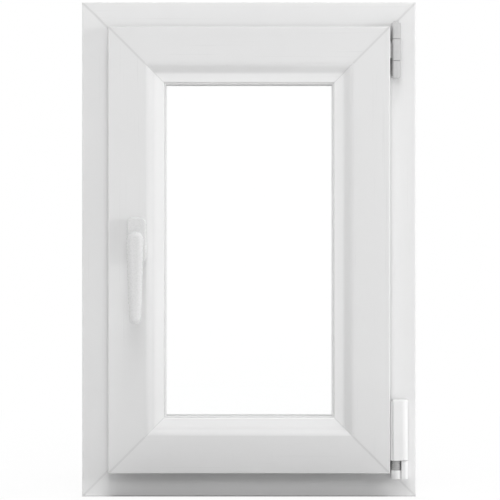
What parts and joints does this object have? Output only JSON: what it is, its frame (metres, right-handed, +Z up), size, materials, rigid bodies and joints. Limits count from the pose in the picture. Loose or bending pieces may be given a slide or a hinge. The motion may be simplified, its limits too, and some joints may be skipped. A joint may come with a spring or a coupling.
{
  "type": "tilt and turn window",
  "caption": "White plastic tilt and turn window, closed: mitred outer frame, overlapping glazed sash with moulded beads, lever handle on the left and hinges on the right.",
  "frame": {"origin": "middle of the outer frame's bottom face, half way through its depth", "axes": "+X to the right seen from the room, +Y to the outside, +Z up"},
  "size_m": [0.5, 0.1495, 0.74],
  "materials": {
    "upvc_white": "satin white",
    "gasket_grey": "matt light grey",
    "glass": "clear float glass",
    "spacer_metal": "mill",
    "hinge_metal": "silver zinc plate",
    "hinge_white": "moulded white",
    "handle_white": "white powder coat"
  },
  "bodies": {
    "window": {"frame_left_jamb": "upvc_white", "frame_head": "upvc_white", "frame_right_jamb": "upvc_white", "frame_sill": "upvc_white", "sash_lock_stile": "upvc_white", "sash_top_rail": "upvc_white", "sash_hinge_stile": "upvc_white", "sash_bottom_rail": "upvc_white", "glazing_bead_left": "upvc_white", "glazing_bead_top": "upvc_white", "glazing_bead_right": "upvc_white", "glazing_bead_bottom": "upvc_white", "drain_cap_left": "upvc_white", "drain_cap_right": "upvc_white", "bead_gasket": "gasket_grey", "outer_glazing_gasket": "gasket_grey", "sash_gasket": "gasket_grey", "frame_gasket": "gasket_grey", "room_pane": "glass", "outer_pane": "glass", "spacer_bar": "spacer_metal", "upper_hinge_bearing": "hinge_metal", "upper_hinge_arm": "hinge_metal", "upper_hinge_pin": "hinge_metal", "lower_hinge_pin": "hinge_metal", "lower_hinge_band": "hinge_metal", "lower_hinge_cover": "hinge_white", "lower_hinge_bearing": "hinge_white", "handle_rosette": "handle_white"},
    "handle": {"handle_lever": "handle_white"}
  },
  "joints": [
    {"name": "handle_turn", "type": "hinge", "parent": "window", "child": "handle", "pos_m": [-0.167, -0.055, 0.384], "axis": [0, -1, 0], "range_deg": [0, 180]}
  ]
}
